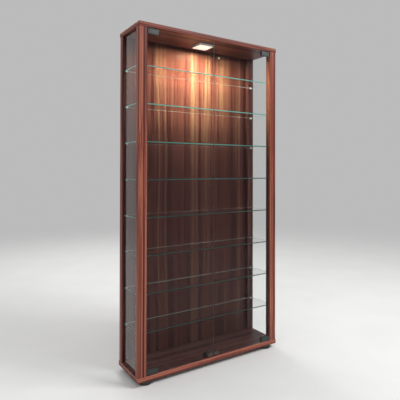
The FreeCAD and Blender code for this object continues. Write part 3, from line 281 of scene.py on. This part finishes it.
def make_dust():
    """Fine dust on what faces up."""
    group, given, result = effect_group(
        "dust", [("Place", "vector", None), ("Amount", "value", 0.3)], [("Mask", "value")]
    )
    facing = shader_node(group, "NewGeometry").outputs["Normal"]
    flat = ramp(group, shader_node(group, "SeparateXYZ", {0: facing}).outputs["Z"], 0.5, 0.95)
    specks = noise(group, given["Place"], detail=6.0, roughness=0.7, scale=24.0)
    mask = math_node(group, "MULTIPLY", ramp(group, specks, 0.35, 0.75), flat)
    mask = math_node(group, "MULTIPLY", mask, given["Amount"])
    group.links.new(mask, result["Mask"])
    return group


def uneven(group, pattern, middle, spread):
    """A value that strays from its middle by up to the spread, where the pattern is light or dark."""
    swing = math_node(group, "SUBTRACT", pattern, 0.5)
    swing = math_node(group, "MULTIPLY", swing, math_node(group, "MULTIPLY", spread, 2.0))
    return math_node(group, "ADD", middle, swing)


def make_brushed():
    """Fine lines along X, as brushing leaves them."""
    group, given, result = effect_group(
        "brushed lines",
        [("Place", "vector", None), ("Roughness", "value", 0.3), ("Spread", "value", 0.15)],
        [("Roughness", "value"), ("Height", "value")],
    )
    lines = noise(group, scaled(group, given["Place"], (60.0, 4000.0, 4000.0)), detail=2.0)
    blotches = noise(group, given["Place"], detail=3.0, scale=90.0)
    both = math_node(group, "MULTIPLY", lines, 0.6)
    both = math_node(group, "ADD", both, math_node(group, "MULTIPLY", blotches, 0.4))
    group.links.new(uneven(group, both, given["Roughness"], given["Spread"]), result["Roughness"])
    group.links.new(lines, result["Height"])
    return group


def make_fine_texture():
    """The slight texture of moulded plastic, powder coat or a printed foil."""
    group, given, result = effect_group(
        "fine texture",
        [
            ("Place", "vector", None),
            ("Size", "value", 0.0006),
            ("Roughness", "value", 0.5),
            ("Spread", "value", 0.1),
        ],
        [("Roughness", "value"), ("Height", "value")],
    )
    per_metre = math_node(group, "DIVIDE", 1.0, given["Size"])
    small = noise(group, given["Place"], scale=per_metre)
    large = noise(group, given["Place"], detail=3.0, scale=35.0)
    group.links.new(uneven(group, large, given["Roughness"], given["Spread"]), result["Roughness"])
    group.links.new(small, result["Height"])
    return group


def make_glass_marks():
    """Faint wiping marks and prints on glass."""
    group, given, result = effect_group(
        "glass marks", [("Place", "vector", None), ("Amount", "value", 0.03)], [("Roughness", "value")]
    )
    wipes = noise(group, scaled(group, given["Place"], (9.0, 9.0, 3.0)), detail=4.0, roughness=0.6)
    prints = noise(group, given["Place"], detail=2.0, scale=28.0)
    marks = math_node(group, "MULTIPLY", ramp(group, wipes, 0.50, 0.75), ramp(group, prints, 0.45, 0.65))
    group.links.new(math_node(group, "MULTIPLY", marks, given["Amount"]), result["Roughness"])
    return group


WOOD_GRAIN = make_wood_grain()
EDGE_WEAR = make_edge_wear()
DUST = make_dust()
BRUSHED = make_brushed()
FINE_TEXTURE = make_fine_texture()
GLASS_MARKS = make_glass_marks()


# ---------------------------------------------------------------- materials


def new_material(name):
    material = bpy.data.materials.new(name)
    material.use_nodes = True
    tree = material.node_tree
    tree.nodes.clear()
    place = tree.nodes.new("ShaderNodeTexCoord").outputs["Object"]
    surface = tree.nodes.new("ShaderNodeOutputMaterial").inputs["Surface"]
    return material, tree, place, surface


def bumped(tree, height, distance):
    made = shader_node(tree, "Bump", {"Height": height, "Distance": distance, "Strength": 0.5})
    return made.outputs[0]


def principled(tree, surface, **inputs):
    """The one surface shader of a material. Underscores in the names stand for spaces."""
    named = {name.replace("_", " "): value for name, value in inputs.items()}
    made = shader_node(tree, "BsdfPrincipled", named)
    if surface is not None:
        tree.links.new(made.outputs[0], surface)
    return made.outputs[0]


def facing_of(tree):
    """The X, Y and Z of the direction that the object's surface faces."""
    normal = tree.nodes["Texture Coordinate"].outputs["Normal"]
    return shader_node(tree, "SeparateXYZ", {0: normal}).outputs


def zone_masks(tree, place, board):
    """Where a board lies in front of the shade line, and where it faces the inside: the masks of its
    painted light and painted shade.
    """
    at = shader_node(tree, "SeparateXYZ", {0: place}).outputs
    facing = facing_of(tree)
    in_front = ramp(tree, at["Y"], SHADE_LINE_Y - BAND_BLUR, SHADE_LINE_Y + BAND_BLUR, 1.0, 0.0)
    behind = math_node(tree, "SUBTRACT", 1.0, in_front)
    if board == "bottom_panel":
        return in_front, math_node(tree, "MULTIPLY", behind, ramp(tree, facing["Z"], 0.6, 0.9))
    if board == "top_panel":
        return in_front, math_node(tree, "MULTIPLY", behind, ramp(tree, facing["Z"], -0.9, -0.6, 1.0, 0.0))
    inwards = facing["X"] if board.endswith("left") else math_node(tree, "MULTIPLY", facing["X"], -1.0)
    inside = ramp(tree, inwards, 0.6, 0.9)
    if "rear" in board:
        inside = math_node(tree, "MAXIMUM", inside, ramp(tree, facing["Y"], -0.9, -0.6, 1.0, 0.0))
    return in_front, inside


def leaning(tree, position, bands):
    """Sum of the (from, to, amount) bands in which a board is lighter or, below zero, darker."""
    total = 0.0
    for low, high, amount in bands:
        rise = ramp(tree, position, low - BAND_BLUR, low + BAND_BLUR)
        fall = ramp(tree, position, high - BAND_BLUR, high + BAND_BLUR, amount, 0.0)
        total = math_node(tree, "ADD", total, math_node(tree, "MULTIPLY", rise, fall))
    return total


def zone_tones(tree, place, board, plain, shaded, painted_light_tones):
    """A board's three tones: plain, with painted light in front of the shade line and painted shade
    towards the inside.
    """
    in_front, inside = zone_masks(tree, place, board)
    tones = {}
    for tone in plain:
        outer = blended(tree, in_front, opaque(plain[tone]), opaque(painted_light_tones[tone]))
        tones[tone] = blended(tree, inside, outer, opaque(shaded[tone]))
    return tones


def reordered(tree, parts, order):
    """A place with its X, Y and Z in another order. The grain runs along the last one."""
    given = {into: parts[taken] for into, taken in zip("XYZ", order)}
    return shader_node(tree, "CombineXYZ", given).outputs[0]


def wood(
    name,
    tones,
    along="Z",
    shift=(0, 0, 0),
    streak_width=0.010,
    streak_length=3.0,
    light_share=0.5,
    dust=0.12,
    sheen=0.22,
    board=None,
    shaded=SHADED_MAHOGANY,
    painted_light_tones=MAHOGANY,
    across="X",
    bands=(),
):
    """Foil or solid wood, grain along one axis. The shift makes every board's pattern its own."""
    material, tree, place, surface = new_material(name)
    parts = shader_node(tree, "SeparateXYZ", {0: place}).outputs
    if along == "X":
        lengthwise = reordered(tree, parts, "YZX")
        end = ramp(tree, math_node(tree, "ABSOLUTE", facing_of(tree)["X"]), 0.6, 0.8)
        turned = blended(tree, end, lengthwise, reordered(tree, parts, "XZY"))
    else:
        turned = reordered(tree, parts, "XYZ")
    moved = shader_node(tree, "VectorMath", {0: turned, 1: shift}, operation="ADD").outputs[0]
    # With a board given, its tones get painted light in front of the shade line and painted shade towards
    # the inside.
    if board:
        shades = zone_tones(tree, place, board, tones, shaded, painted_light_tones)
    else:
        shades = {tone: opaque(colour) for tone, colour in tones.items()}
    grain = placed(
        tree,
        WOOD_GRAIN,
        {
            "Place": moved,
            "Dark": shades["dark"],
            "Body": shades["body"],
            "Light": shades["light"],
            "Streak Width": streak_width,
            "Streak Length": streak_length,
            "Light Share": light_share,
            "Drift": GRAIN_DRIFT,
            "Lean": leaning(tree, parts[across], bands),
        },
    )
    wear = placed(tree, EDGE_WEAR, {"Place": place, "Amount": 0.30})["Mask"]
    colour = blended(tree, wear, grain["Color"], shades["light"])
    powder = placed(tree, DUST, {"Place": place, "Amount": dust})["Mask"]
    colour = blended(tree, powder, colour, opaque(DUST_COLOUR))
    roughness = math_node(tree, "ADD", grain["Roughness"], math_node(tree, "MULTIPLY", powder, 0.5))
    principled(
        tree,
        surface,
        Base_Color=colour,
        Roughness=roughness,
        Specular_IOR_Level=sheen,
        Coat_Weight=0.3 * sheen,
        Coat_Roughness=0.30,
        Normal=bumped(tree, grain["Height"], 0.00008),
    )
    return material


def glass(name, broad_axis, bending, edge=GLASS_EDGE, glow=0.80):
    """Clear float glass. Its narrow edges show the green of the long way through the sheet.

    Edges that face the rear get painted shade. The others get a painted glow of the lamp's light, less of
    it further away.
    """
    material, tree, place, surface = new_material(name)
    facing = facing_of(tree)
    narrow = ramp(tree, math_node(tree, "ABSOLUTE", facing[broad_axis]), 0.35, 0.65, 1.0, 0.0)
    # Painted shade: edges that face the rear are dark.
    to_rear = ramp(tree, facing["Y"], 0.35, 0.65)
    edge_colour = blended(tree, to_rear, opaque(edge), opaque(PAINTED_REAR_EDGE_SHADE))
    colour = blended(tree, narrow, opaque(GLASS_TINT), edge_colour)
    smears = placed(tree, GLASS_MARKS, {"Place": place, "Amount": GLASS_SMEARS})["Roughness"]
    ground = math_node(tree, "MULTIPLY", narrow, GROUND_EDGE_ROUGHNESS)
    roughness = math_node(tree, "MAXIMUM", smears, ground)
    # Painted glow: the narrow edges that face forward glow with the lamp's light, most near the lamp.
    away = shader_node(tree, "VectorMath", {0: place, 1: UNDER_LAMP}, operation="DISTANCE")
    painted_glow = ramp(tree, away.outputs["Value"], 0.0, PAINTED_GLOW_REACH, glow, 0.03)
    painted_glow = math_node(tree, "MULTIPLY", narrow, painted_glow)
    painted_glow = math_node(tree, "MULTIPLY", painted_glow, math_node(tree, "SUBTRACT", 1.0, to_rear))
    sheet = principled(
        tree,
        None,
        Base_Color=colour,
        Roughness=roughness,
        Transmission_Weight=1.0,
        IOR=bending,
        Emission_Color=blended(tree, painted_glow, (0.0, 0.0, 0.0, 1.0), opaque(PAINTED_EDGE_GLOW)),
        Emission_Strength=1.0,
    )
    # Light that only passes through goes straight on and is dimmed a little by each sheet.
    rays = tree.nodes.new("ShaderNodeLightPath").outputs
    passing = math_node(tree, "MAXIMUM", rays["Is Shadow Ray"], rays["Is Diffuse Ray"])
    clear = shader_node(tree, "BsdfTransparent", {"Color": opaque(CLEAR_TINT)}).outputs[0]
    both = shader_node(tree, "MixShader", {0: passing, 1: sheet, 2: clear}).outputs[0]
    tree.links.new(both, surface)
    return material


def fine_texture(tree, place, size, roughness, spread=0.08):
    given = {"Place": place, "Size": size, "Roughness": roughness, "Spread": spread}
    return placed(tree, FINE_TEXTURE, given)


def coated_metal(name, colour, roughness=0.42):
    """Steel or die-cast metal under a dark coat that has rubbed through on its corners."""
    material, tree, place, surface = new_material(name)
    texture = fine_texture(tree, place, 0.0007, roughness)
    bare = placed(tree, EDGE_WEAR, {"Place": place, "Width": 0.0008, "Amount": 0.5})["Mask"]
    principled(
        tree,
        surface,
        Base_Color=blended(tree, bare, opaque(colour), opaque(WORN_METAL)),
        Metallic=math_node(tree, "MULTIPLY", bare, 0.8),
        Roughness=texture["Roughness"],
        Normal=bumped(tree, texture["Height"], 0.00006),
    )
    return material


def bare_metal(name, colour, roughness, spread=0.12):
    """Brushed, plated or drawn metal."""
    material, tree, place, surface = new_material(name)
    lines = placed(tree, BRUSHED, {"Place": place, "Roughness": roughness, "Spread": spread})
    dull = ramp(tree, noise(tree, place, detail=4.0, scale=140.0), 0.45, 0.75, 0.0, 0.35)
    darker = tuple(0.62 * part for part in colour)
    principled(
        tree,
        surface,
        Base_Color=blended(tree, dull, opaque(colour), opaque(darker)),
        Metallic=1.0,
        Roughness=lines["Roughness"],
        Normal=bumped(tree, lines["Height"], 0.00003),
    )
    return material


def plastic(name, colour, roughness=0.45, bump=0.00005, dust=0.15, wear=0.25, **more):
    """Moulded plastic with its mould texture, a little dust on top and paler corners."""
    material, tree, place, surface = new_material(name)
    texture = fine_texture(tree, place, 0.0006, roughness)
    rubbed = placed(tree, EDGE_WEAR, {"Place": place, "Width": 0.0007, "Amount": wear})["Mask"]
    paler = tuple(min(1.0, 1.6 * part + 0.02) for part in colour)
    tinted = blended(tree, rubbed, opaque(colour), opaque(paler))
    powder = placed(tree, DUST, {"Place": place, "Amount": dust})["Mask"]
    principled(
        tree,
        surface,
        Base_Color=blended(tree, powder, tinted, opaque(DUST_COLOUR)),
        Roughness=texture["Roughness"],
        Normal=bumped(tree, texture["Height"], bump),
        **more,
    )
    return material


def lit_opal(name):
    """The lamp's opal cover, brightest over the light emitters."""
    material, tree, place, surface = new_material(name)
    level = scaled(tree, place, (1.0, 1.0, 0.0))
    from_middle = shader_node(tree, "VectorMath", {0: level}, operation="LENGTH").outputs["Value"]
    glow = ramp(tree, from_middle, 0.010, 0.062, 1.0, 0.0)
    texture = fine_texture(tree, place, 0.0012, 0.35, spread=0.05)
    principled(
        tree,
        surface,
        Base_Color=(0.78, 0.76, 0.72, 1.0),
        Roughness=texture["Roughness"],
        Emission_Color=blended(tree, glow, (0.80, 0.66, 0.50, 1.0), (1.0, 0.93, 0.80, 1.0)),
        Emission_Strength=0.9,
        Normal=bumped(tree, texture["Height"], 0.00004),
    )
    return material


def pale_floor():
    """A pale floor that fades into the studio's grey, far away from the cabinet."""
    material, tree, place, surface = new_material("pale floor")
    distance = shader_node(tree, "VectorMath", {0: place}, operation="LENGTH").outputs["Value"]
    far = ramp(tree, distance, HAZE_START, HAZE_END)
    tone = ramp(tree, noise(tree, place, detail=5.0, scale=3.0), 0.3, 0.7, 0.97, 1.0)
    colour = blended(tree, 1.0, opaque(FLOOR_NEAR), tone, how="MULTIPLY")
    boards = principled(tree, None, Base_Color=colour, Roughness=0.7)
    haze = shader_node(tree, "Emission", {"Color": opaque(STUDIO_GREY)}).outputs[0]
    both = shader_node(tree, "MixShader", {0: far, 1: boards, 2: haze}).outputs[0]
    tree.links.new(both, surface)
    return material


# ---------------------------------------------------------------- finishes on the nodes


def board_finish(name):
    """The mahogany foil of one board, or of the caps over the screws in the top panel."""
    is_panel = name.endswith("panel")
    bands = POST_BANDS.get(name, ())
    # The bottom panel's bands are painted shade on its lower rounding and painted light above it.
    if name == "bottom_panel":
        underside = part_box(name)[0].z
        bands = [(underside + low, underside + high, amount) for low, high, amount in BOTTOM_PANEL_LIGHT_AND_SHADE]
    return wood(
        f"mahogany foil {name}",
        MAHOGANY,
        along="X" if is_panel else "Z",
        shift=BOARD_SHIFTS[name],
        streak_width=PANEL_STREAKS if is_panel else POST_STREAKS,
        board=name,
        shaded=LAMPLIT_MAHOGANY if name in LAMPLIT_BOARDS else SHADED_MAHOGANY,
        painted_light_tones=PAINTED_LIGHT_MAHOGANY if name == "bottom_panel" else MAHOGANY,
        across="Z" if is_panel else "X",
        bands=bands,
    )


def slot_finishes():
    """One finish for each material slot of the frame, apart from the boards' foil."""
    return {
        "side_glass": glass("side glass", "X", SIDE_BENDING),
        "shelf_glass": glass("shelf glass", "Z", SHELF_BENDING),
        "door_glass": glass("door glass", "Y", DOOR_BENDING, edge=DOOR_EDGE, glow=0.06),
        "clear_plastic": plastic(
            "clear plastic",
            (0.86, 0.90, 0.89),
            roughness=0.22,
            bump=0.00002,
            wear=0.1,
            Transmission_Weight=0.35,
        ),
        "hinge_black": coated_metal("black hinge coat", (0.020, 0.020, 0.022)),
        # Painted shade: the hinge plates' steel is made dark to stand in for the dark surroundings it
        # reflects.
        "hinge_plate_metal": bare_metal("hinge plate steel", (0.075, 0.080, 0.075), roughness=0.45),
        "pad_rubber": plastic("pad rubber", (0.025, 0.025, 0.025), roughness=0.75),
        "zinc_steel": bare_metal("zinc-plated steel", (0.62, 0.62, 0.60), roughness=0.32),
        "strike_steel": coated_metal("strike clip coat", (0.055, 0.034, 0.024), roughness=0.50),
        "black_plastic": plastic("black plastic", (0.022, 0.019, 0.018)),
        "plunger_plastic": plastic("plunger plastic", (0.060, 0.042, 0.034), roughness=0.38),
        "magnet_nickel": bare_metal("magnet nickel", (0.66, 0.63, 0.57), roughness=0.15, spread=0.05),
        "spring_steel": bare_metal("spring wire", (0.50, 0.50, 0.50), roughness=0.28),
        "lamp_white": plastic(
            "white lamp plastic", (0.76, 0.75, 0.72), roughness=0.4, wear=0.05, dust=0.05
        ),
        "lamp_board_green": plastic("lamp board lacquer", (0.60, 0.62, 0.60), roughness=0.3),
        "led_yellow": plastic("light emitter phosphor", (0.85, 0.62, 0.10), roughness=0.3),
        "opal_diffuser": lit_opal("lit opal"),
        "dowel_wood": wood("bare beech", BEECH, streak_width=0.002, streak_length=0.05, dust=0.0),
        "back_panel_decor": wood(
            "back panel foil",
            BACK_MAHOGANY,
            shift=(0.81, 0.2, 0.6),
            streak_width=0.012,
            light_share=0.4,
            sheen=0.12,
        ),
    }


def finish_nodes():
    finishes = slot_finishes()
    for name, node in nodes.items():
        slot = node.data.materials[0].name.split(".")[0]
        finish = board_finish(name) if slot == "wood_decor" else finishes[slot]
        for index in range(len(node.data.materials)):
            node.data.materials[index] = finish


# ---------------------------------------------------------------- floor, lights and camera


def lay_floor():
    mesh = bpy.data.meshes.new("studio_floor")
    half = FLOOR_HALF_SIZE
    corners = [(-half, -half, 0.0), (half, -half, 0.0), (half, half, 0.0), (-half, half, 0.0)]
    mesh.from_pydata(corners, [], [(0, 1, 2, 3)])
    mesh.materials.append(pale_floor())
    floor = bpy.data.objects.new("studio_floor", mesh)
    bpy.context.scene.collection.objects.link(floor)


def soft_light(name, place, aim, width, height, watts, colour=(1.0, 1.0, 1.0)):
    data = bpy.data.lights.new(name, "AREA")
    data.shape = "RECTANGLE"
    data.size, data.size_y = width, height
    data.energy = watts
    data.color = colour
    light = bpy.data.objects.new(name, data)
    light.location = place
    light.rotation_euler = (Vector(aim) - Vector(place)).to_track_quat("-Z", "Y").to_euler()
    light.visible_camera = light.visible_transmission = False
    bpy.context.scene.collection.objects.link(light)
    return light


def light_cabinet():
    """Three soft studio lights, and the cabinet's own lamp, which is weaker close by and far down."""
    world = bpy.data.worlds.new("studio")
    world.use_nodes = True
    backdrop = world.node_tree.nodes["Background"]
    backdrop.inputs["Color"].default_value = opaque(STUDIO_GREY)
    bpy.context.scene.world = world
    middle = (0.0, 0.0, 0.95)
    soft_light("key light", (2.4, -2.8, 4.2), middle, width=1.8, height=1.6, watts=135)
    soft_light("fill light", (-3.8, -2.2, 3.2), middle, width=1.6, height=1.6, watts=24)
    soft_light("rear light", (0.5, 3.8, 3.2), middle, width=2.0, height=1.6, watts=50)
    below = UNDER_LAMP - Vector((0, 0, 1))
    lamp = soft_light("cabinet lamp", UNDER_LAMP, below, LAMP_SIZE, LAMP_SIZE, 1.0, LAMP_GLOW)
    lamp.visible_glossy = False
    lamp.data.use_nodes = True
    tree = lamp.data.node_tree
    reach = tree.nodes.new("ShaderNodeLightPath").outputs["Ray Length"]
    close_by = ramp(tree, reach, 0.08, 0.40, 0.12, 1.0)
    far_down = ramp(tree, reach, 0.32, 0.90, 46.0, 3.5)
    strength = math_node(tree, "MULTIPLY", close_by, far_down)
    tree.links.new(strength, tree.nodes["Emission"].inputs["Strength"])


def place_camera():
    data = bpy.data.cameras.new("camera")
    data.sensor_width = 36.0
    data.lens = 37.846
    data.shift_x, data.shift_y = -0.01716, -0.08380
    camera = bpy.data.objects.new("camera", data)
    camera.location = (-1.2933, -2.0229, 1.0711)
    turned = Matrix.Rotation(math.radians(-33.214), 3, "Z")
    raised = Matrix.Rotation(math.radians(90.350), 3, "X")
    rolled = Matrix.Rotation(math.radians(0.115), 3, "Z")
    camera.rotation_euler = (turned @ raised @ rolled).to_euler()
    bpy.context.scene.collection.objects.link(camera)
    bpy.context.scene.camera = camera


finish_nodes()
lay_floor()
light_cabinet()
place_camera()
bpy.context.scene.view_settings.view_transform = "Standard"
